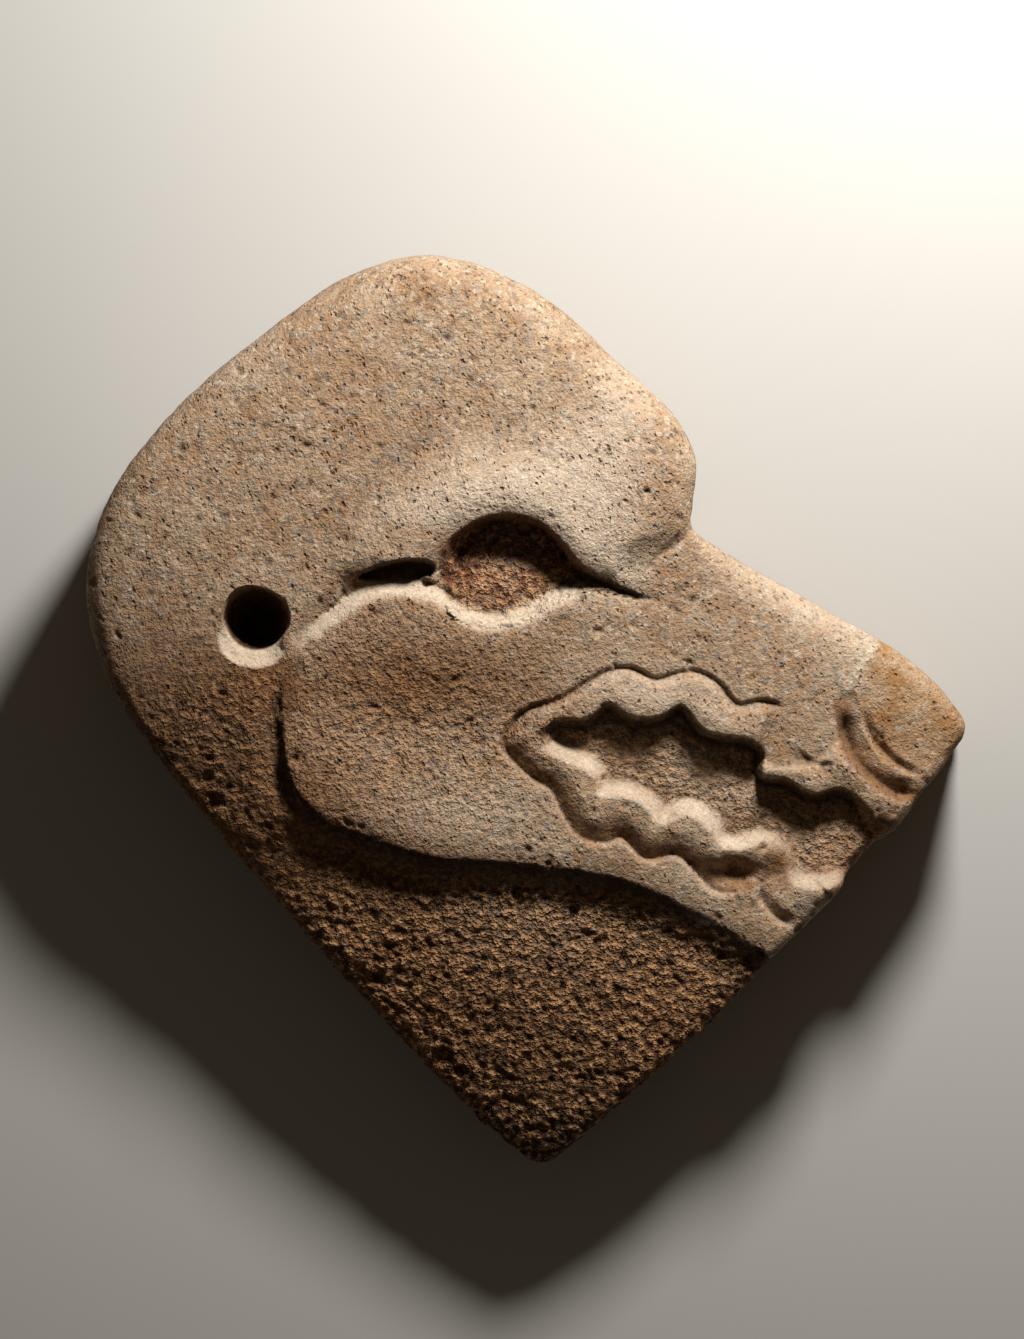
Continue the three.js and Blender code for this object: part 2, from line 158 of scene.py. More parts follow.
def inside(loop, x, y):
    """Which plan points lie inside a closed line."""
    odd = np.zeros(x.shape, bool)
    for (ax, ay), (bx, by) in zip(loop[:, :2], loop[1:, :2]):
        if ay != by:
            odd ^= ((ay > y) != (by > y)) & (x < ax + (y - ay) * (bx - ax) / (by - ay))
    return odd


def depth_in(loop, x, y, reach):
    """How far plan points lie inside a closed line, up to a reach; negative outside it."""
    return measure(loop, x, y, reach)[0] * np.where(inside(loop, x, y), 1, -1)


def ease(value, low, high):
    """0 below low, 1 above high, and a smooth rise between."""
    t = np.clip((value - low) / (high - low), 0, 1)
    return t * t * (3 - 2 * t)


def plane_height(x):
    """Height of the cheek's plane, which falls from the back of the head to the nose."""
    return (BACK_THICKNESS + NOSE_THICKNESS) / 2 - (BACK_THICKNESS - NOSE_THICKNESS) * x / WIDTH


outline = trace(OUTLINE, closed=True, step=0.85)[:-1]

# The carved lines, in plan: the cheek and muzzle are one raised plate under the brow
CHEEK_EDGE = trace([
    (78, -80), (71, -73), (51, -61.2), (30, -51.8), (0, -46.8), (-29, -44.4), (-50, -37.6), (-62, -32.2),
    (-70.5, -24), (-74, -10), (-74.6, 4), (-73.8, 12),
])
CHEEK_RIM = trace([
    (-73.8, 12), (-70.5, 17.6), (-65, 22.4), (-57, 28.8), (-49, 34), (-40, 36), (-30, 34), (-21, 27.5),
    (-10, 25.3), (0, 27.6), (9, 32.8), (20, 36.6), (32, 34.4), (39.6, 34),
])
BROW_CREASE = trace([(39.6, 34), (35.6, 37.6), (34.4, 42.4), (40, 46.8), (46, 51.2), (50.6, 56.6), (56, 64)])
PLATE = np.vstack([CHEEK_EDGE, CHEEK_RIM, BROW_CREASE, [(200, 80, 0), (200, -120, 0), (78, -80, 0)]])
BROW_EDGE = trace([
    (-26, 47), (-24, 52.5), (-15, 58.5), (-5, 60), (4, 57.6), (11, 51.5), (17, 44.3), (27, 39), (39.6, 34),
])
SOCKET = np.vstack([BROW_EDGE, [(20, 22, 0), (-22, 18, 0), (-25.4, 36, 0), (-25.8, 44, 0), (-26, 47, 0)]])
SLOT = trace([
    (-52.5, 40.6), (-45, 44.6), (-36, 46.2), (-29.4, 45.6), (-27.8, 43.4), (-28.6, 40.8), (-32, 39.8),
    (-42, 38.8),
], closed=True)
BROW_FIELD = trace([
    (-64, 44), (-58, 60), (-42, 76), (-22, 86.5), (-5, 89), (9, 100), (22, 116), (70, 120), (90, 20),
    (-10, 10), (-45, 25),
], closed=True, step=2.5)
LIP_LINE = trace([
    (80, 0.6), (72, 2.6), (64.7, 1.6), (58, 8.6), (51, 11.8), (44, 10.6), (39.4, 9.4), (32, 12.6), (25, 12),
    (18, 8.2), (9.4, 3), (-1, -0.6), (-7.2, -10), (0, -19.6), (7.5, -24.6), (11, -31.5), (16, -38.4),
    (24, -40.4), (28.8, -39), (36, -45.4), (46, -44.6), (51.5, -49.6), (58, -55.4), (66.3, -55.8),
])
LIP_FIELD = trace([*LIP_LINE, (84, -50), (110, -70), (150, -30), (125, -8), (96, -3)], closed=True)
UPPER_LIP = trace([
    (122, -36), (112, -32), (103, -27.2), (96, -23.8), (88, -25.4), (80, -21), (72.5, -19.4), (73.4, -13.4),
    (69, -9), (55, -6), (47.4, 1.9), (40.5, -1.4), (32.5, -1.8), (25, 2.4), (18, -2.4), (10, -2.2), (3, -6),
])
LOWER_LIP = trace([
    (3, -6), (4.6, -12), (13.5, -17), (18.8, -19.4), (21.6, -26.4), (30, -27), (35.4, -29.6), (40, -35.4),
    (49.5, -32.8), (54.4, -36), (58, -42), (65, -43.6), (71, -42.4), (76, -45.4), (79, -51), (83, -54.6),
    (90, -55.6), (98, -54),
])
MOUTH = np.vstack([UPPER_LIP, LOWER_LIP, [(125, -60, 0), (122, -36, 0)]])
NOSE_LINE = trace([(103, 1), (105, -6), (107.8, -10.6), (111.6, -14.8), (116, -17.8), (123, -21)])
SNOUT_LINE = trace([(96.6, 1), (98.4, -9), (102, -16), (107, -21), (113, -25), (122, -26)])
MUZZLE_FOLD = trace([(81.6, -9.6), (84.5, -14), (89, -16.6), (96, -16.4)])
CHIN_LINE = trace([(71.4, -51), (72.2, -57.5), (75.6, -62.6), (84, -67.4)])
BROW_FOLD = trace([(35, 42), (39.5, 46.8), (46, 51.2), (50.4, 56.4)])

# The last five are cut in, each with its depth and its width on its left and on its right
CUTS = [
    (NOSE_LINE, 2.3, 2.2, 1.8), (SNOUT_LINE, 3.8, 5.6, 3.0), (MUZZLE_FOLD, 1.3, 1.2, 4.0),
    (CHIN_LINE, 2.4, 3.4, 1.9), (BROW_FOLD, 0.9, 2.0, 1.6),
]

# Levels from the cheek's plane, and the widths over which they change
CROWN, BROW_RISE, BROW_TUCK, CREASE_LEVEL = -2.5, 6.0, 1.6, 0.4
NECK_DROP, NECK_SLOPE, EDGE_SLOPE, EDGE_REACH = 5.5, 6.2, 7.0, 58.0
RIM_FOOT, BACK_GROOVE, BRIDGE = -4.0, 2.2, -5.2
SOCKET_FLOOR, SOCKET_FALL, SLOT_FLOOR = -7.4, 2.6, -7.0
MOUTH_FLOOR, MOUTH_END_RISE = -7.4, 3.2
LIP_SWELL, LIP_GROOVE, LIP_SLOPE, UPPER_LIP_RISE, UPPER_LIP_ROLL = 1.0, 3.0, 6.5, 1.4, 0.5
RIM_ROLL, CHEEK_ROLL, BACK_ROLL = 1.0, 1.1, 1.4
UNDERCUT_STEP, RIM_STEP, CHEEK_STEP, CUT_FADE = 2.2, 6.0, 12.5, 7.0

# Soft rises and hollows: their middle, half sizes, turn and height
PLATE_FORMS = [
    (-33, -5, 34, 20, 0, -4.6), (76, -50, 5, 5, 0, -1.6), (89, -56.5, 8, 3.5, 12, 1.2),
    (88, -63, 8, 4, 40, -0.5), (97, -17.5, 6, 4, -35, 1.2), (108, -28, 5, 3.5, -40, 1.0),
]
MOUTH_FORMS = [
    (82, -28, 9, 7, -20, -1.2), (69, -30, 7, 7, 0, 2.0), (77, -44, 5, 5, 0, 2.6), (42, -8, 22, 9, -10, 1.5),
]
CHIN_HOLLOW = (63.5, -50.4, 7.5, 4.2, -6, -6.0)
NECK_SWELL = (-77, -32, 13, 13, 0, 2.0)


def dent(x, y, at_x, at_y, half_x, half_y, turn=0.0):
    """1 in the middle of a soft oval, falling to 0 round it."""
    c, s = math.cos(math.radians(turn)), math.sin(math.radians(turn))
    dx, dy = x - at_x, y - at_y
    return np.exp(-((dx * c + dy * s) / half_x) ** 2 - ((dy * c - dx * s) / half_y) ** 2)


def soft_forms(forms, x, y):
    """Height of soft rises and hollows at plan points."""
    return sum(height * dent(x, y, *oval) for *oval, height in forms)


def from_back_edge(x, y):
    """How far plan points lie inside the straight edge that runs down the back of the neck."""
    return (x + 125) * 0.742 + (y - 3) * 0.67


def from_ends(line, x, y):
    """How far plan points lie from the nearer end of a line."""
    return np.minimum(*(np.hypot(x - end[0], y - end[1]) for end in (line[0], line[-1])))


def ground_level(x, y):
    """The crown, falling to the neck and towards the back edge."""
    neck = ease(-y, 2, 52) * (1 - 0.35 * ease(x, 10, 75))
    return (CROWN - NECK_DROP * neck - NECK_SLOPE * (np.maximum(0, -y - 50) / 90) ** 1.8
            - EDGE_SLOPE * np.maximum(0, 1 - from_back_edge(x, y) / EDGE_REACH) ** 2)


def brow_rise(x, y):
    """Rise of the brow's bulge over the crown."""
    return BROW_RISE * ease(depth_in(BROW_FIELD, x, y, 60), 0, 22 + 26 * ease(x, -8, 26))


def at_cheek_back(x, y):
    """1 along the upright back edge of the cheek, 0 along its lower edge."""
    return ease(-x, 52, 68) * ease(y, -38, -20)


def level_round_plate(x, y, to_rim, to_edge, to_crease):
    """Level of the crown, brow, eye, slot and neck on the carved face."""
    level = ground_level(x, y) + brow_rise(x, y)
    level -= BROW_TUCK * np.maximum(0, 1 - measure(BROW_EDGE, x, y, 6)[0] / 6) ** 2
    level += (CREASE_LEVEL - level) * 0.75 * (1 - ease(to_crease, 1, 10))
    level += soft_forms([NECK_SWELL], x, y)
    level -= BACK_GROOVE * at_cheek_back(x, y) * np.maximum(0, 1 - to_edge / 10) ** 1.5
    foot_width = 6.5 + 5.0 * ease(-x, 44, 58)
    level -= np.maximum(0, level - RIM_FOOT) * (1 - ease(to_rim, 4.6, foot_width)) * ease(-x, 16, 26)
    level -= np.maximum(0, level - BRIDGE) * dent(x, y, -25.8, 41, 4.2, 7.2)
    socket_floor = SOCKET_FLOOR - SOCKET_FALL * ease(y, 38, 52)
    socket_step = UNDERCUT_STEP + 3 * ease(-x, 12, 22)
    level += (socket_floor - level) * ease(depth_in(SOCKET, x, y, 12), 0, socket_step)
    return level + (SLOT_FLOOR - level) * ease(depth_in(SLOT, x, y, 4), 0, 0.6 * UNDERCUT_STEP)


def lips_level(x, y, to_upper, is_upper):
    """Level of the scalloped lips, which swell between the mouth and a groove along the cheek."""
    on_lips = inside(LIP_FIELD, x, y)
    to_line, line_end = measure(LIP_LINE, x, y, 17)[0], from_ends(LIP_LINE, x, y)
    beside = ease(line_end - to_line, 0, 3) * ease(line_end, 0, 6)
    beside = beside * np.maximum(ease(84 - x, 0, 8), ease(-y - 0.2 * (x - 80), 4, 14))
    groove, swell = LIP_GROOVE * (1 - 0.5 * is_upper) * beside, LIP_SWELL * beside
    roll = np.clip(1 - to_line / (7.5 - 4.5 * is_upper), 0, 1)
    lips = (swell - (swell + groove) * roll * (0.5 + 0.5 * roll)
            + UPPER_LIP_RISE * is_upper * np.clip(to_line / 8, 0, 1) * beside
            - UPPER_LIP_ROLL * is_upper * np.maximum(0, 1 - to_upper / 3.0) ** 1.5)
    lips += soft_forms([CHIN_HOLLOW], x, y)
    return np.where(on_lips, lips, -groove * np.clip(1 - to_line / 1.4, 0, 1))


def plate_level(x, y, to_rim, to_edge):
    """Level of the cheek and muzzle, with the lips and the mouth."""
    to_upper, to_lower = measure(UPPER_LIP, x, y, 14)[0], measure(LOWER_LIP, x, y, 14)[0]
    level = lips_level(x, y, to_upper, ease(to_lower - to_upper, -4, 4)) + soft_forms(PLATE_FORMS, x, y)
    level -= (RIM_ROLL * np.maximum(0, 1 - to_rim / 6) ** 2
              + CHEEK_ROLL * (1 - 0.5 * at_cheek_back(x, y)) * np.maximum(0, 1 - to_edge / 7) ** 2
              + BACK_ROLL * ease(-x, 30, 62) * np.maximum(0, 1 - to_edge / 22) ** 2)
    mouth_floor = MOUTH_FLOOR + soft_forms(MOUTH_FORMS, x, y) + MOUTH_END_RISE * ease(x - 0.5 * y, 98, 124)
    upper_slope = UNDERCUT_STEP + 9 * ease(x, 99, 108)
    lower_slope = LIP_SLOPE + 4 * dent(x, y, 75, -45, 6, 8)
    sunk = ease(to_upper, 0, upper_slope) * ease(to_lower, 0, lower_slope) * inside(MOUTH, x, y)
    return level + (mouth_floor - level) * sunk


def obverse_level(x, y):
    """Level of the carved face: the plate, the step down from it, what lies round it, and the cut lines."""
    to_rim, to_edge = measure(CHEEK_RIM, x, y, 16)[0], measure(CHEEK_EDGE, x, y, 24)[0]
    to_crease = measure(BROW_CREASE, x, y, 12)[0]
    around = level_round_plate(x, y, to_rim, to_edge, to_crease)
    level = plate_level(x, y, to_rim, to_edge)
    rim_rise = ease(to_rim, -1, RIM_STEP - 1.5 * ease(-x, 25, 40))
    edge_width = CHEEK_STEP - 8.5 * at_cheek_back(x, y)
    step = np.minimum.reduce([
        1 - (1 - np.clip(to_edge / edge_width, 0, 1)) ** 2,
        rim_rise * 0.6 + 0.4 * (2 * rim_rise - rim_rise ** 2),
        ease(to_crease, 0, 3.5 + 6 * ease(-x, -46, -34)),
    ])
    level += (around - level) * step * ~inside(PLATE, x, y)
    for line, depth, left_width, right_width in CUTS:
        gap, _, left = measure(line, x, y, 8)
        share = np.maximum(0, 1 - gap / np.where(left, left_width, right_width))
        level -= depth * share * ease(from_ends(line, x, y), 0, CUT_FADE)
    return level


def reverse_level(x, y):
    """Level of the plainer reverse, with nothing above the cheek's plane."""
    around = np.minimum(0, ground_level(x, y) * 0.7 + brow_rise(x, y))
    around += (SOCKET_FLOOR - around) * ease(depth_in(SOCKET, x, y, 6), 0, UNDERCUT_STEP * 2)
    near_lips = np.minimum(measure(UPPER_LIP, x, y, 8)[0], measure(LOWER_LIP, x, y, 8)[0])
    level = MOUTH_FLOOR * 0.7 * ease(near_lips, 0, LIP_SLOPE) * inside(MOUTH, x, y)
    reach = np.minimum.reduce([measure(line, x, y, 8)[0] for line in (CHEEK_EDGE, CHEEK_RIM, BROW_CREASE)])
    return level + (around - level) * ease(reach, 0, RIM_STEP) * ~inside(PLATE, x, y)


SHOULDER_SLOPE, SHOULDER_WIDTH = 0.32, 2.7


def fall_to_edge(x, y):
    """Fall of a face towards the outline: a gentle shoulder some radii wide, then the worn quarter round."""
    ring = np.vstack([outline, outline[:1]])
    gap, radius, _ = measure(ring, x, y, 50)
    radius = np.where(radius > 0, radius, 3)
    shoulder = SHOULDER_SLOPE * radius * np.maximum(0, 1 - gap / (SHOULDER_WIDTH * radius)) ** 2
    past = np.clip(radius - gap, 0, radius)
    return shoulder + radius - np.sqrt(radius ** 2 - past ** 2)


def obverse(x, y):
    return plane_height(x) + obverse_level(x, y) - fall_to_edge(x, y)


def reverse(x, y):
    return fall_to_edge(x, y) - reverse_level(x, y)


# The drilled hole: two flared cones that meet at a narrow throat, a little out of line, as they were drilled
# from both faces. Its rim is uneven, and below the hole on the obverse a cord has worn a smooth bevel.
HOLE_X, HOLE_Y = -82.9, 27.6
MOUTH_RADIUS, THROAT_RADIUS = 10.5, 3.8
THROAT_SHIFT = (0.8, -1.4)
RIM_WEAR = (0.5, 0.7, -0.1, 0.2, 1.1, 0.7, 0.2, -0.7, -0.3, -0.2, -0.6, -0.6)
RIM_SHARE, DEEP_SHARE, BACK_RIM_SHARE, BACK_RIM_WEAR = 0.85, 0.68, -0.75, 1.5
BEVEL_WIDTH, BEVEL_STEEPNESS, BEVEL_TURN = 4.6, 0.8, math.radians(259)
HOLE_SIDES = 96
HOLE_FIELD = 15.5
hole_angles = np.linspace(0, 2 * math.pi, HOLE_SIDES, endpoint=False)
hole_middle = plane_height(HOLE_X) / 2


def bore_ring(share):
    """Points of the hole's wall at a share of the way from the throat to a face; negative for the reverse."""
    flare = 1 - (1 - abs(share)) ** 1.6
    wear = np.interp(np.degrees(hole_angles), np.arange(13) * 30, RIM_WEAR + RIM_WEAR[:1])
    radius = THROAT_RADIUS + (MOUTH_RADIUS - THROAT_RADIUS) * flare + wear * flare ** 2
    aside = 1 - flare
    return np.column_stack([HOLE_X + THROAT_SHIFT[0] * aside + radius * np.cos(hole_angles),
                            HOLE_Y + THROAT_SHIFT[1] * aside + radius * np.sin(hole_angles),
                            np.full(HOLE_SIDES, hole_middle * (1 + share))])


def field_ring(share):
    """Plan points of a ring on the face round the hole, from its rim at 0 out to a true circle at 1."""
    circle = np.column_stack([np.cos(hole_angles), np.sin(hole_angles)]) * HOLE_FIELD + (HOLE_X, HOLE_Y)
    return bore_ring(RIM_SHARE)[:, :2] * (1 - share) + circle * share


# The mesh: both faces as fine plan grids, knitted to rings round the worn edge and round the hole
EDGE_TURNS = np.radians([0, 6, 12, 18, 24, 30, 36, 42])
WALL_ROWS = 18
OBVERSE_STEP, REVERSE_STEP = 0.6, 1.7
points, faces = [], []


def add_points(new):
    """Adds mesh points and gives the number of the first."""
    first = sum(len(p) for p in points)
    points.append(np.asarray(new, float))
    return first


def strip(outer, inner, count):
    """Two triangles for each step between two closed rings."""
    i = np.arange(count)
    j = (i + 1) % count
    faces.append(np.column_stack([outer + i, inner + j, inner + i]))
    faces.append(np.column_stack([outer + i, outer + j, inner + j]))


def face_grid(step, height, edge_ring, edge_first, hole_ring, hole_first, up):
    """Fills a face between its edge ring and the hole's ring with a square grid, knitted to both."""
    gx, gy = np.arange(-137.0, 137.0, step), np.arange(-142.0, 142.0, step)
    x, y = np.meshgrid(gx, gy, indexing="ij")
    ring = np.vstack([edge_ring, edge_ring[:1]])
    room = inside(ring, x, y)
    room &= (measure(np.column_stack([ring[:, :2], np.zeros(len(ring))]), x, y, 3)[0] > 0.75 * step)
    room &= np.hypot(x - HOLE_X, y - HOLE_Y) > HOLE_FIELD + 0.75 * step
    cells = room[:-1, :-1] & room[1:, :-1] & room[:-1, 1:] & room[1:, 1:]
    used = np.zeros(room.shape, bool)
    for dx, dy in itertools.product((0, 1), repeat=2):
        used[dx:dx + cells.shape[0], dy:dy + cells.shape[1]] |= cells
    number = np.full(room.shape, -1)
    number[used] = np.arange(used.sum())
    flat_x, flat_y = x[used], y[used]
    first = add_points(np.column_stack([flat_x, flat_y, height(flat_x, flat_y)]))
    i, j = np.nonzero(cells)
    a, b, c, d = (number[i + p, j + q] + first for p, q in ((0, 0), (1, 0), (1, 1), (0, 1)))
    odd = (i + j) % 2 == 1
    one = np.where(odd[:, None], np.column_stack([a, b, c]), np.column_stack([a, b, d]))
    two = np.where(odd[:, None], np.column_stack([a, c, d]), np.column_stack([b, c, d]))
    faces.extend([one[:, ::up], two[:, ::up]])

    # The stair-stepped rim of the grid, as points and edges for the knitting
    padded = np.pad(cells, 1)
    rim = []
    for (p, q), (r, s), (back_i, back_j) in (((0, 0), (1, 0), (0, -1)), ((0, 1), (1, 1), (0, 1)),
                                             ((0, 0), (0, 1), (-1, 0)), ((1, 0), (1, 1), (1, 0))):
        alone = padded[1:-1, 1:-1] & ~padded[1 + back_i:padded.shape[0] - 1 + back_i,
                                             1 + back_j:padded.shape[1] - 1 + back_j]
        ci, cj = np.nonzero(alone)
        rim.append(np.column_stack([number[ci + p, cj + q], number[ci + r, cj + s]]))
    rim = np.vstack(rim)
    stairs, local = np.unique(rim, return_inverse=True)
    local = local.reshape(-1, 2)
    plan = np.vstack([np.column_stack([flat_x[stairs], flat_y[stairs]]), edge_ring[:, :2], hole_ring[:, :2]])
    plan = plan.astype(np.float32).astype(float)
    numbers = np.concatenate([stairs + first, edge_first + np.arange(len(edge_ring)),
                              hole_first + np.arange(len(hole_ring))])
    start = len(stairs)
    loops = []
    for count in (len(edge_ring), len(hole_ring)):
        k = np.arange(count)
        loops.append(np.column_stack([start + k, start + (k + 1) % count]))
        start += count
    spots, edges = [tuple(p) for p in plan], [tuple(map(int, e)) for e in np.vstack([local, *loops])]
    _, _, knitted, origins, _, _ = delaunay_2d_cdt(spots, edges, [], 0, 1e-7)
    knitted = np.array([[origins[v][0] for v in t] for t in knitted])
    centre = plan[knitted].mean(1)
    ci = np.floor((centre[:, 0] - gx[0]) / step).astype(int).clip(0, cells.shape[0] - 1)
    cj = np.floor((centre[:, 1] - gy[0]) / step).astype(int).clip(0, cells.shape[1] - 1)
    rings = [plan[len(stairs) + np.arange(len(edge_ring) + 1) % len(edge_ring)],
             plan[len(stairs) + len(edge_ring) + np.arange(len(hole_ring) + 1) % len(hole_ring)]]
    wanted = inside(rings[0], *centre.T) & ~inside(rings[1], *centre.T) & ~cells[ci, cj]
    faces.append(numbers[knitted[wanted]][:, ::up])


# Rings round the outline, from a face's grid out to the side
along = np.roll(outline, -1, axis=0) - np.roll(outline, 1, axis=0)
along /= np.hypot(along[:, 0], along[:, 1])[:, None]
into = np.column_stack([along[:, 1], -along[:, 0]])


def edge_ring(turn):
    """Plan points of the ring where the worn edge has turned by an angle from the side."""
    return outline[:, :2] + into * (outline[:, 2] * (1 - math.cos(turn)))[:, None]


count = len(outline)
front_rings = []
for turn in EDGE_TURNS[::-1]:
    plan = edge_ring(turn)
    front_rings.append(add_points(np.column_stack([plan, obverse(plan[:, 0], plan[:, 1])])))
back_rings = []
for turn in EDGE_TURNS[::-2]:
    plan = edge_ring(turn)
    back_rings.append(add_points(np.column_stack([plan, reverse(plan[:, 0], plan[:, 1])])))
front_edge, back_edge = points[len(EDGE_TURNS) - 1], points[-1]
walls = [add_points(front_edge + (back_edge - front_edge) * row / WALL_ROWS) for row in range(1, WALL_ROWS)]
chain = front_rings + walls + back_rings[::-1]
for inner, outer in zip(chain, chain[1:]):
    strip(inner, outer, count)

hole_chain = []
bevel = BEVEL_WIDTH * ease(np.cos(hole_angles - BEVEL_TURN), 0.2, 0.9)
rim_radius = np.hypot(*(bore_ring(RIM_SHARE)[:, :2] - (HOLE_X, HOLE_Y)).T)
for share in np.linspace(1, 0, 14):
    plan = field_ring(share)
    radius = np.hypot(*(plan - (HOLE_X, HOLE_Y)).T)
    worn = BEVEL_STEEPNESS * np.maximum(0, rim_radius + bevel - radius)
    hole_chain.append(add_points(np.column_stack([plan, obverse(plan[:, 0], plan[:, 1]) - worn])))
rim, deep = points[-1], bore_ring(DEEP_SHARE)
for share in (0.12, 0.3, 0.5, 0.75):
    hole_chain.append(add_points(rim * (1 - share) + deep * share))
hole_chain.extend(add_points(bore_ring(share)) for share in np.linspace(DEEP_SHARE, BACK_RIM_SHARE, 34))
for share in np.linspace(0, 1, 7):
    plan = field_ring(share)
    z = reverse(plan[:, 0], plan[:, 1]) + BACK_RIM_WEAR * (1 - share) ** 3
    hole_chain.append(add_points(np.column_stack([plan, z])))
for outer, inner in zip(hole_chain, hole_chain[1:]):
    strip(outer, inner, HOLE_SIDES)

face_grid(OBVERSE_STEP, obverse, points[0], front_rings[0], field_ring(1), hole_chain[0], 1)
face_grid(REVERSE_STEP, reverse, edge_ring(EDGE_TURNS[-1]), back_rings[0], field_ring(1), hole_chain[-1], -1)
points, faces = np.vstack(points), np.vstack(faces)


# The skin: the whole block was roughed out and dressed by pecking with hard stone points, then ground on the
# cheek, brow and lips; natural gas pits and a few knocks are open in it.
def normals_of(p, f):
    """Unit normals at the points of a mesh."""
    square = np.cross(p[f[:, 1]] - p[f[:, 0]], p[f[:, 2]] - p[f[:, 0]])
    out = np.column_stack([sum(np.bincount(f[:, k], square[:, axis], len(p)) for k in range(3))
                           for axis in range(3)])
    return out / np.linalg.norm(out, axis=1)[:, None]


def lumps(p, size, seed):
    """Smooth bumps and hollows from -1 to 1, about a size in millimetres across; a seed gives other ones."""
    q = p / size + seed * 13.7
    cell = np.floor(q).astype(np.int64)
    f = q - cell
    f = f * f * (3 - 2 * f)
    total = np.zeros(len(p))
    for corner in itertools.product((0, 1), repeat=3):
        key = ((cell + corner) * (73856093, 19349663, 83492791)).sum(1) ^ (seed * 2654435761)
        key = ((key ^ (key >> 13)) * 1274126177) & 0xFFFFFFFF
        key = ((key ^ (key >> 15)) * 2246822519) & 0xFFFFFFFF
        total += ((key ^ (key >> 16)) / 2 ** 31 - 1) * np.where(corner, f, 1 - f).prod(1)
    return total


NECK = np.vstack([
    CHEEK_EDGE[:-18], [(-200, -10, 0), (-200, -250, 0), (250, -250, 0), (200, -200, 0), (78, -80, 0)],
])


def rough_share(p):
    """Where the pecking was left coarse: the neck, the floors of the mouth and the eye, and the sides."""
    x, y, z = p.T
    neck = ease(depth_in(NECK, x, y, 16), 0, 8) * (0.5 + 0.5 * ease(-y + 0.25 * x, 20, 60))
    from_lower_lip = measure(LOWER_LIP, x, y, 8)[0]
    mouth_floor = 0.7 * ease(depth_in(MOUTH, x, y, 8), 2, 4) * (0.3 + 0.7 * ease(from_lower_lip, 4, 7))
    eye_floor = ease(depth_in(SOCKET, x, y, 6), 0.5, 3) * ~inside(PLATE, x, y)
    back = 0.45 * dent(x, y, -105, -14, 36, 30) + 0.3 * dent(x, y, -84, 4, 18, 16)
    under = ease(30 - z, 0, 12) * (np.hypot(x - HOLE_X, y - HOLE_Y) > 14)
    return np.maximum.reduce([neck * (1 - 0.55 * under), mouth_floor, eye_floor * 0.8,
                              back * ~inside(PLATE, x, y) * (1 - 0.3 * under), 0.45 * under])


# Unevenness in millimetres: the long waves of a hand-dressed block, then the tool marks, finer and finer; on
# the coarse parts they lean with the strokes. The finest are a little coarser than real, so that they show.
normals = normals_of(points, faces)
coarse = rough_share(points)
side = 1 - np.abs(normals[:, 2])
lean = points @ np.array([[0.72, -0.48, 0], [0.60, 0.90, 0], [0, 0, 1]]).T
cheek = dent(points[:, 0], points[:, 1], -32, -8, 48, 34)
skin = (0.30 * lumps(points, 26, 1) + 0.18 * lumps(points, 9, 2) + 0.16 * cheek * lumps(points, 1.5, 12)
        + (0.12 + 0.10 * side) * lumps(points, 4.2, 3) + 0.13 * lumps(points, 2.1, 4)
        + coarse * (0.28 * lumps(lean, 6.0, 9) + 0.48 * lumps(lean, 2.8, 5) + 0.55 * lumps(lean, 1.5, 6)))

# Gas pits: small ones scattered by chance, and the larger ones where they are on the real stone
PITS = 1900
SMALLEST_PIT, PIT_SPREAD = 0.65, 1.1
LARGE_PITS = [
    (14.4, -62, 1.8, 2.2), (-3, -56.5, 2.1, 1.8), (-26, -106.7, 3.2, 2.6), (-21, -111.7, 2.3, 2.0),
    (-46.7, -82.8, 2.4, 1.8), (6.5, -47, 1.0, 1.2), (72.4, -42, 1.5, 2.0), (36.5, 67, 1.0, 1.2),
    (68.5, -78, 3.0, 1.8), (-95.6, -28.3, 2.6, 1.5), (-98, -21, 2.0, 1.2), (18, -69, 2.2, 0.9),
    (22.5, -71, 2.2, 0.9), (29.5, -76, 1.6, 0.9),
]
dice = np.random.default_rng(7)
tree = kdtree.KDTree(len(points))
for index, p in enumerate(points):
    tree.insert(p, index)
tree.balance()
area = np.zeros(len(points))
first, second, third = (points[faces[:, k]] for k in range(3))
patch = np.linalg.norm(np.cross(second - first, third - first), axis=1)
for k in range(3):
    area += np.bincount(faces[:, k], patch, len(points))
front_smooth = ease(points[:, 0] - 0.4 * points[:, 1], 0, 60)
likely = area * (1 - 0.6 * front_smooth) * (1 - 0.9 * coarse) * (1 + cheek)
seats = dice.choice(len(points), PITS, p=likely / likely.sum())
pits = np.zeros(len(points))
uneven = 1 + 0.5 * lumps(points, 1.1, 13)
for seat in seats:
    radius = SMALLEST_PIT + PIT_SPREAD * dice.random() ** 3.5
    depth = radius * dice.uniform(0.3, 0.6)
    turn, stretch = dice.uniform(0, math.pi), dice.uniform(1.0, 2.2)
    centre = points[seat] + dice.uniform(-0.3, 0.3, 3)
    for _, i, gap in tree.find_range(centre, radius * 1.6):
        ox, oy = points[i][0] - centre[0], points[i][1] - centre[1]
        length = abs(ox * math.cos(turn) + oy * math.sin(turn))
        reach = math.sqrt(max(0, gap * gap - length * length) * stretch + length * length / stretch)
        pits[i] = max(pits[i], depth * max(0, 1 - (reach / radius * uneven[i]) ** 2))
for x, y, radius, depth in LARGE_PITS:
    gap = np.hypot(points[:, 0] - x, points[:, 1] - y) * (1 + 0.25 * lumps(points, 1.5, 8))
    pits = np.maximum(pits, depth * np.clip(1 - (gap / radius) ** 2, 0, None) ** 0.7 * (normals[:, 2] > 0.2))
points = points + normals * (skin - pits)[:, None]
points[:, 2] = np.maximum(points[:, 2], 0)

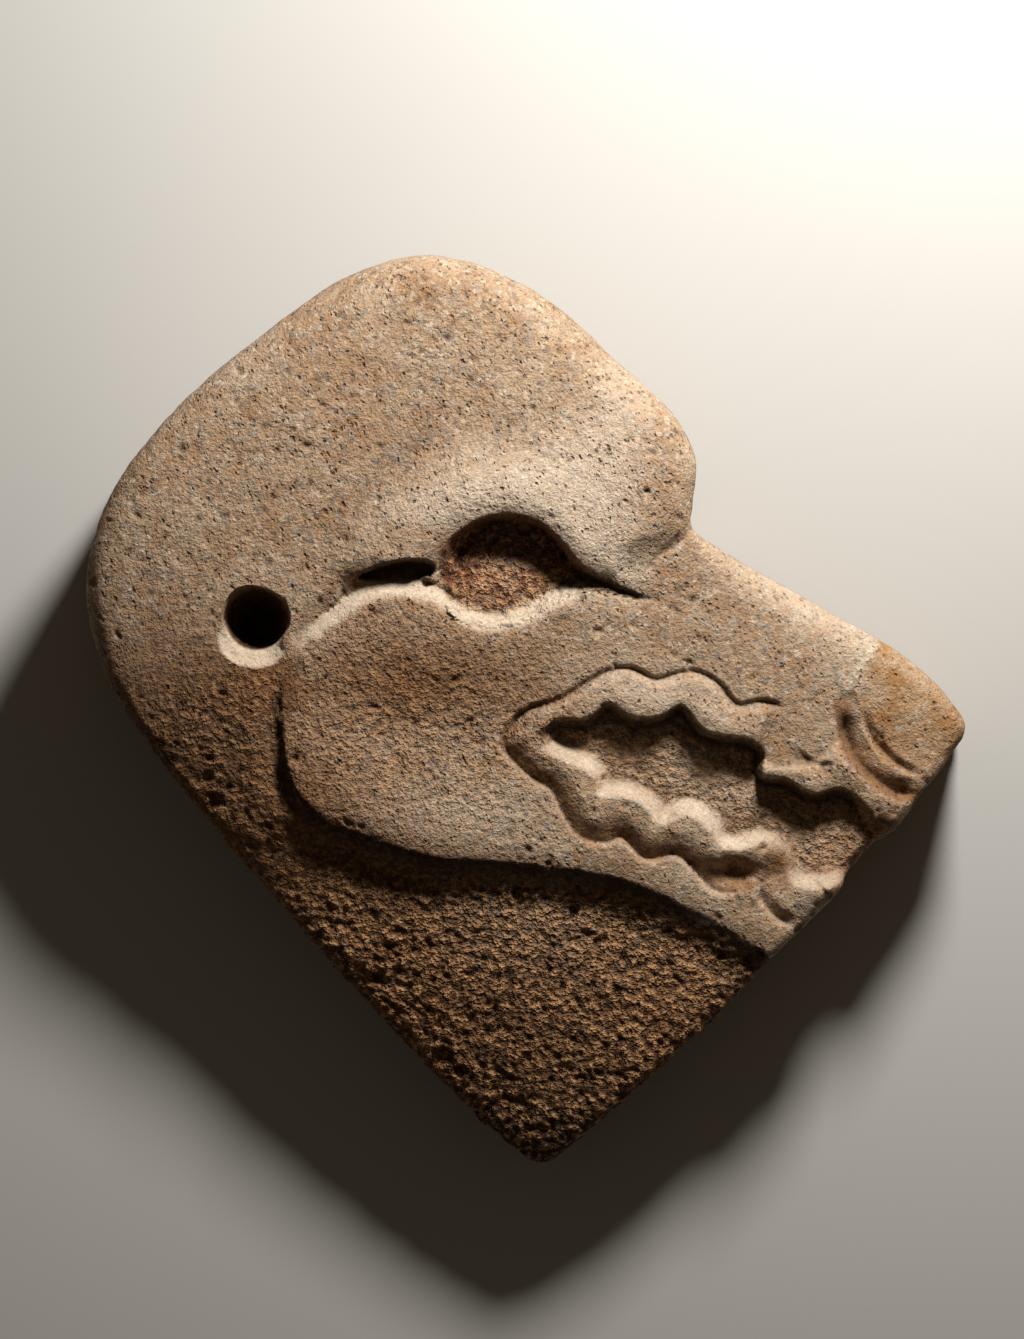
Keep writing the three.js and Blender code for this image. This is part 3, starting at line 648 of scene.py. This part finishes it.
# Thinned where the surface is flat, to keep the mesh light
TRIANGLES = 196000
rough_mesh = bpy.data.meshes.new("full_stone")
rough_mesh.from_pydata(points, [], faces.tolist())
full = bpy.data.objects.new("full_stone", rough_mesh)
bpy.context.scene.collection.objects.link(full)
thin = full.modifiers.new("thin", "DECIMATE")
thin.ratio = TRIANGLES / len(faces)
stone_mesh = bpy.data.meshes.new_from_object(full.evaluated_get(bpy.context.evaluated_depsgraph_get()))
bpy.data.objects.remove(full)
bpy.data.meshes.remove(rough_mesh)
stone_mesh.name = "carved_stone_head"
stone_head = bpy.data.objects.new("carved_stone_head", stone_mesh)
bpy.context.scene.collection.objects.link(stone_head)
points = np.empty(len(stone_mesh.vertices) * 3)
stone_mesh.vertices.foreach_get("co", points)
points = points.reshape(-1, 3)
stone_mesh.calc_loop_triangles()
faces = np.empty(len(stone_mesh.loop_triangles) * 3, np.int32)
stone_mesh.loop_triangles.foreach_get("vertices", faces)
faces = faces.reshape(-1, 3)
stone_mesh.vertices.foreach_set("co", (points * MM).ravel())
stone_mesh.polygons.foreach_set("use_smooth", np.ones(len(stone_mesh.polygons), bool))
stone_mesh.update()

# What the colour follows, as marks from 0 to 1 on the mesh's points: hollows darkened with dirt and painted
# shade, rubbed and polished places with painted highlights, pigment and patina
ends = np.empty(len(stone_mesh.edges) * 2, np.int32)
stone_mesh.edges.foreach_get("vertices", ends)
ends = ends.reshape(-1, 2)
neighbours = np.bincount(ends.ravel(), minlength=len(points)).astype(float)


def relaxed(values, rounds):
    """Values at the mesh's points, averaged with their neighbours' a number of times."""
    for _ in range(rounds):
        total = np.bincount(ends[:, 0], values[ends[:, 1]], len(points))
        total += np.bincount(ends[:, 1], values[ends[:, 0]], len(points))
        values = 0.5 * values + 0.5 * total / neighbours
    return values


normals = normals_of(points, faces)
near = np.column_stack([relaxed(points[:, k], 4) for k in range(3)])
wide = np.column_stack([relaxed(near[:, k], 40) for k in range(3)])
small_hollow = ((near - points) * normals).sum(1)
large_hollow = ((wide - near) * normals).sum(1)
x, y, z = points.T


def fade(distance, near, far):
    """1 up to a near distance, 0 from a far one."""
    return ease(-distance, -far, -near)


def close_to(line, near, far):
    """1 close to a traced line, 0 from a far distance on."""
    return fade(measure(line, x, y, far + 1)[0], near, far)


# Where things are on the stone
on_top, underneath = normals[:, 2] > 0.1, fade(normals[:, 2], -0.2, 0.2)
outside_plate = ~inside(PLATE, x, y)
rough = rough_share(points)
to_rim, to_edge = measure(CHEEK_RIM, x, y, 9)[0], measure(CHEEK_EDGE, x, y, 12)[0]
in_mouth, in_socket = depth_in(MOUTH, x, y, 12), depth_in(SOCKET, x, y, 8)
in_cavity = in_mouth > 0
hole_radius = np.hypot(x - HOLE_X, y - HOLE_Y)
bevel_side = np.cos(np.arctan2(y - HOLE_Y, x - HOLE_X) - BEVEL_TURN)
bevel_width = BEVEL_WIDTH * ease(bevel_side, 0.2, 0.9)
LOWER_LIP_LINE = LIP_LINE[len(LIP_LINE) // 2:]

# Red pigment on the floor of the eye, and the orange nose with a painted highlight along the lit edge behind
# it
pigment_edge = to_rim + 1.5 * lumps(points, 4.0, 10) + 0.8 * lumps(points, 1.6, 11)
pigment = ease(in_socket, -2, 1.5) * outside_plate * ease(pigment_edge, 4.6, 6.8) * (z > 38)
NOSE_EDGE = trace([(107.6, 24), (103, 13.5), (100.6, 1.2), (101, -4)])
# The line of the painted highlight along the lit edge behind the nose
LIT_STREAK_LINE = trace([(107, 20), (101.8, 13.5), (97.6, 6)])
nose = ease(x - np.interp(y, NOSE_EDGE[::-1, 1], NOSE_EDGE[::-1, 0]), -1, 4) * ease(y, -24, -8)

# Places that hands and the cord have polished, painted pale as a highlight only where they face the lamp: the
# bevel below the hole, the cheek's rim and the lower lip's inner slopes
lit = ease(normals_of(near, faces)[:, 1], 0.12, 0.4)
polish_and_highlight = np.maximum.reduce([
    ease(10.2 + bevel_width - hole_radius, -0.4, 0.5) * ease(hole_radius, 8.8, 9.6) * (z > 44)
    * ease(bevel_side, 0.25, 0.55),
    fade(to_rim, 3, 5.5) * np.where(outside_plate, 1, fade(to_rim, 0, 3)) * (z > 44)
    * fade(x, 12, 22) * ease(x, -74, -62),
    close_to(LOWER_LIP, 4, 6.5) * in_cavity * fade(x, 95, 98) * ease(x, 3, 8)
    * (1 - dent(x, y, 77, -46, 5.5, 7)) * (0.7 + 0.3 * lumps(points, 6.0, 14)),
]) * on_top * np.maximum(lit, hole_radius < 17)

# Brown earth and painted shade: on the neck, darker towards its tip, on the low sides and the undersides, low
# at the back, in the mouth, in the cheek's dish, in the hole, along the cheek's back edge, in the lower lip's
# groove, the chin's hollow and the snout line
earth_and_shade = np.maximum.reduce([
    rough * (0.4 + 0.6 * ease(-y, 30, 110)) * ease(-y, 25, 35),
    0.6 * fade(z, 22, 34),
    fade(from_back_edge(x, y), 10, 75) * ease(-y, -50, 20),
    0.6 * ease(-y + 0.9 * x, 105, 140) * in_cavity,
    0.35 * ease(in_mouth, 2, 5) * (0.3 + 0.7 * (1 - close_to(LOWER_LIP, 5, 8))),
    0.7 * close_to(LOWER_LIP_LINE, 3, 7) * inside(LIP_FIELD, x, y),
    0.95 * dent(x, y, -34, 8, 42, 18) * (1 - outside_plate),
    underneath * (hole_radius > 16),
    fade(hole_radius, 9, 10),
    0.85 * fade(to_edge, 2, 9) * outside_plate * ease(y, -30, -22) * fade(y, 12, 20),
    0.9 * dent(x, y, -104, -8, 34, 34) + 0.8 * dent(x, y, -78, 8, 14, 12),
    dent(x, y, 77, -47, 6, 7),
    0.9 * close_to(SNOUT_LINE, 1.5, 4),
])

# Painted shade, near black: in larger hollows that face away from the lamp, under the brow's edge in the eye,
# under the upper lip, in the slot and the hole, at the neck's tip, low at the back and along the cheek's back
# edge
hollows = (np.clip(large_hollow / 1.1, 0, 1) * (1 - ease(normals[:, 1], 0.05, 0.3)) * (1 - polish_and_highlight)
           * (1 - in_cavity))
painted_shade = np.maximum.reduce([
    0.7 * hollows,
    0.8 * close_to(BROW_EDGE, 7, 14) * (in_socket > 0) * outside_plate,
    0.9 * close_to(UPPER_LIP, 1, 5) * (in_mouth > 0.5) * fade(x, 98, 106),
    0.75 * ease(depth_in(SLOT, x, y, 4), -0.4, 0.4),
    fade(hole_radius, 8.5, 10),
    0.9 * ease(-y, 100, 140),
    0.5 * dent(x, y, -102, -4, 30, 26),
    0.9 * fade(to_edge, 1.5, 8) * outside_plate * fade(y, -4, 16),
])

# Rubbed pale, and painted as a highlight: the brow's bulge above the eye and the ridges of cheek, muzzle and
# lips
rubbed_and_highlight = np.maximum.reduce([
    ease(depth_in(BROW_FIELD, x, y, 40), 2, 22) * ease(y + 0.3 * x, 40, 52) * fade(x, 22, 46),
    0.9 * dent(x, y, -36, -33, 34, 9),
    0.9 * dent(x, y, 50, -17, 16, 7, -12),
    0.9 * dent(x, y, 38, 4, 26, 9, -18),
    0.7 * dent(x, y, 84, 33, 34, 8, -31),
    0.8 * dent(x, y, 58, -24, 24, 9, -30),
])
ground_smooth = np.maximum(~outside_plate * ease(x - 0.5 * y, -10, 40), 0.6 * ease(y + 0.4 * x, 50, 70))
face_pecking = (0.1 + 0.42 * dent(x, y, -40, -8, 52, 34)) * on_top * (1 - polish_and_highlight)
marks = {
    "polish_and_highlight": polish_and_highlight,
    "coarse": np.maximum(rough * (1 - 0.2 * in_cavity), face_pecking),
    "dressed": on_top * (1 - rough) * ground_smooth,
    # Dirt and painted shade in the small hollows
    "dirt_and_shade": np.clip(small_hollow / 0.30, 0, 1),
    "painted_shade": painted_shade,
    "rubbed_and_highlight": rubbed_and_highlight * on_top,
    "earth_and_shade": earth_and_shade,
    "pigment": pigment * on_top,
    "patina": nose,
    "streak_highlight": close_to(LIT_STREAK_LINE, 0.2, 1.6) * on_top,
}
for name, values in marks.items():
    stone_mesh.attributes.new(name, "FLOAT", "POINT").data.foreach_set("value", values.astype(np.float32))

# The material gives the eye a dry, matt, grey-brown volcanic rock with grey and white mineral grains about a
# millimetre across and rusty stains, darkened in its pits and hollows with earth and painted shade, and paler
# with painted highlights where hands have rubbed it.
stone = bpy.data.materials.new("pecked_volcanic_stone")
stone.use_nodes = True
graph = stone.node_tree
shader = graph.nodes["Principled BSDF"]


def add(kind, links=(), **settings):
    """Adds a node with its settings, and its inputs linked or set by name or number."""
    node = graph.nodes.new(kind)
    for name, value in settings.items():
        setattr(node, name, value)
    for socket, value in dict(links).items():
        if isinstance(value, bpy.types.NodeSocket):
            graph.links.new(value, node.inputs[socket])
        else:
            node.inputs[socket].default_value = value
    return node


place = add("ShaderNodeTexCoord").outputs["Object"]
mark = {name: add("ShaderNodeAttribute", attribute_name=name).outputs["Fac"] for name in marks}

# Places pushed about by under a millimetre, so that no grain or pore keeps a straight side
WANDER_SIZE, WANDER_REACH = 1.4, 0.8
wander = add("ShaderNodeTexNoise", {"Vector": place, "Scale": 1000 / WANDER_SIZE, "Detail": 2})
reach = WANDER_REACH * MM
shift = {0: wander.outputs["Color"], 1: (2 * reach,) * 3, 2: (-reach,) * 3}
shift = add("ShaderNodeVectorMath", shift, operation="MULTIPLY_ADD")
ragged = add("ShaderNodeVectorMath", {0: place, 1: shift.outputs[0]}, operation="ADD").outputs[0]

# Patterns, each with its size in millimetres and its detail. The pecks are the marks of a pointed hammer
# stone. The finest grain is drawn a little coarser than the real one, which is too fine to show.
PATTERNS = (("clouds", 30, 4), ("stains", 9, 5), ("spots", 4.0, 4), ("flecks", 1.8, 4), ("pecks", 2.1, 2),
            ("grain", 0.8, 3))
noise = {}
for name, size, detail in PATTERNS:
    pattern = {"Vector": place, "Scale": 1000 / size, "Detail": detail, "Roughness": 0.65}
    noise[name] = add("ShaderNodeTexNoise", pattern).outputs[0]

# Open pores in two sizes, each a ragged pit in some of the cells of a pattern that is drawn out along the
# stone's bedding: the cells' spacing in millimetres, the share of them without a pore, and the widest pore as
# a share of its cell
BEDDING, STRETCH = math.radians(112), 1.5
PORES = ((1.2, 0.30, 0.52), (2.3, 0.35, 0.42))
bedded = add("ShaderNodeMapping", {"Vector": ragged, "Rotation": (0, 0, BEDDING), "Scale": (STRETCH, 1, 1)},
             vector_type="TEXTURE").outputs[0]
pits = []
for spacing, rare, widest in PORES:
    cells = add("ShaderNodeTexVoronoi", {"Vector": bedded, "Scale": 1000 / spacing})
    which = add("ShaderNodeSeparateColor", {0: cells.outputs["Color"]}).outputs[0]
    crowd = {0: noise["stains"], 1: 0.35, 2: 0.65, 3: 0.5 * widest, 4: 1.3 * widest}
    open_width = add("ShaderNodeMapRange", crowd).outputs[0]
    width = add("ShaderNodeMapRange", {0: which, 1: rare, 2: 1.0, 3: 0.0, 4: open_width}).outputs[0]
    pits.append(add("ShaderNodeMapRange", {0: cells.outputs["Distance"], 1: width, 2: 0.0, 3: 0.0, 4: 1.0},
                    interpolation_type="SMOOTHSTEP").outputs[0])
pore = add("ShaderNodeMath", {0: pits[0], 1: pits[1]}, operation="MAXIMUM").outputs[0]

# Mineral grains, some grey and some pale, picked by chance from cells of a grain's size
GRAIN_SIZE = 1.3
minerals = add("ShaderNodeTexVoronoi", {"Vector": ragged, "Scale": 1000 / GRAIN_SIZE})
pick = add("ShaderNodeSeparateColor", {0: minerals.outputs["Color"]})

# Where the stone is ground or polished, the pores and the fine relief are half as strong
worn = {0: mark["dressed"], 1: 0.4, 2: mark["polish_and_highlight"]}
worn = add("ShaderNodeMath", worn, operation="MULTIPLY_ADD").outputs[0]
unworn = add("ShaderNodeMapRange", {0: worn, 1: 0.0, 2: 1.0, 3: 1.0, 4: 0.5}).outputs[0]

# Colours laid over each other: what decides where, from and to which value, and how much
body = linear("#ab8d70")
for colour, source, low, high, most, limit in (
        ("#bca68d", noise["clouds"], 0.40, 0.62, 0.8, None),
        ("#93653d", noise["stains"], 0.50, 0.68, 0.5, None),
        ("#a39a90", noise["spots"], 0.52, 0.66, 0.6, None),
        ("#8a5a38", noise["flecks"], 0.56, 0.70, 0.5, None),
        ("#716b64", pick.outputs[0], 0.84, 0.90, 0.5, None),
        ("#e2d5c2", pick.outputs[1], 0.86, 0.92, 0.32, None),
        # Rubbed pale and painted highlight
        ("#dccdba", mark["rubbed_and_highlight"], 0.0, 1.0, 0.5, None),
        # Brown earth, and painted shade where the stone turns from the lamp
        ("#7d522d", mark["earth_and_shade"], 0.0, 1.0, 0.85, None),
        # Painted shade, near black
        ("#2c1e13", mark["painted_shade"], 0.0, 1.0, 0.85, None),
        ("#82492d", noise["flecks"], 0.3, 0.6, 0.85, mark["pigment"]),
        ("#a0713a", noise["stains"], 0.3, 0.6, 0.7, mark["patina"]),
        # Painted highlight along the lit edge behind the nose
        ("#d8cdb9", noise["flecks"], 0.35, 0.55, 0.8, mark["streak_highlight"]),
        # Dirt and painted shade in the small hollows
        ("#3a281a", mark["dirt_and_shade"], 0.0, 1.0, 0.5, None),
        # The pecks' low parts darkened: dirt and painted shade
        ("#2a1c12", noise["pecks"], 0.48, 0.36, 0.6, mark["coarse"]),
        # The pecks' high parts lightened: a painted highlight
        ("#d0a070", noise["pecks"], 0.50, 0.62, 0.75, mark["coarse"]),
        # Pores darkened: dirt and painted shade in the pits
        ("#54392a", pore, 0.1, 0.9, 0.65, unworn),
        # Painted highlight, pale, on polished slopes that face the lamp
        ("#dccdb8", mark["polish_and_highlight"], 0.0, 1.0, 0.58, None)):
    share = add("ShaderNodeMapRange", {0: source, 1: low, 2: high, 3: 0.0, 4: most}).outputs[0]
    if limit:
        share = add("ShaderNodeMath", {0: share, 1: limit}, operation="MULTIPLY").outputs[0]
    body = add("ShaderNodeMix", {0: share, 6: body, 7: linear(colour)}, data_type="RGBA").outputs[2]
grit = add("ShaderNodeMapRange", {0: noise["grain"], 1: 0.3, 2: 0.7, 3: 0.72, 4: 1.22}).outputs[0]
body = add("ShaderNodeMix", {0: 1.0, 6: body, 7: grit}, data_type="RGBA", blend_type="MULTIPLY").outputs[2]
graph.links.new(body, shader.inputs["Base Color"])
shader.inputs["Roughness"].default_value = 0.92
shader.inputs["IOR"].default_value = 1.5
shader.inputs["Specular IOR Level"].default_value = 0.25

# The same grains stand up and the same pores sink in; the pecks do so only where the stone was left coarse
BUMP_HEIGHT = 0.0014
pecked = add("ShaderNodeMath", {0: noise["pecks"], 1: mark["coarse"]}, operation="MULTIPLY").outputs[0]
relief = 1.0
for source, height in ((noise["flecks"], 0.45), (noise["grain"], 0.5), (noise["spots"], 0.7), (pecked, 3.6),
                       (pore, -0.8)):
    layer = {0: source, 1: height, 2: relief}
    relief = add("ShaderNodeMath", layer, operation="MULTIPLY_ADD").outputs[0]
bump = add("ShaderNodeBump", {"Height": relief, "Distance": BUMP_HEIGHT, "Strength": unworn})
graph.links.new(bump.outputs[0], shader.inputs["Normal"])
stone_mesh.materials.clear()
stone_mesh.materials.append(stone)
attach(stone_head, "root")
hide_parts("carved_head")
